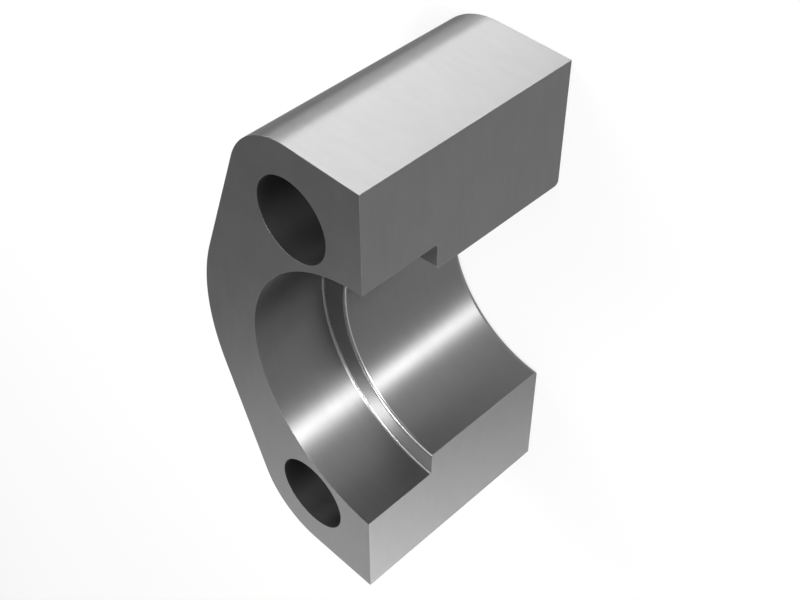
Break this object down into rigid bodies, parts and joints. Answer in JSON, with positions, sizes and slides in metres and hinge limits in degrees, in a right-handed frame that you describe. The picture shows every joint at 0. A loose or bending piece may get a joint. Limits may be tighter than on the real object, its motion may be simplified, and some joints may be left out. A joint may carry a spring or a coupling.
{
  "type": "split flange clamp half",
  "caption": "Half of a split flange clamp for hydraulic lines: a thick steel block with a stepped half-round recess and a bolt hole through each end.",
  "frame": {"origin": "on the port axis, in the plane of the face that looks at the port (the mouth of the head recess)", "axes": "+Z along the port axis, out of the head recess towards the port; X along the clamp's length, from bolt to bolt; the metal lies on the +Y side of the port axis, with its split faces 1 mm from it"},
  "size_m": [0.081, 0.0339, 0.0381],
  "materials": {
    "clamp_steel": "satin"
  },
  "bodies": {
    "root": {"clamp_half": "clamp_steel"}
  },
  "joints": []
}
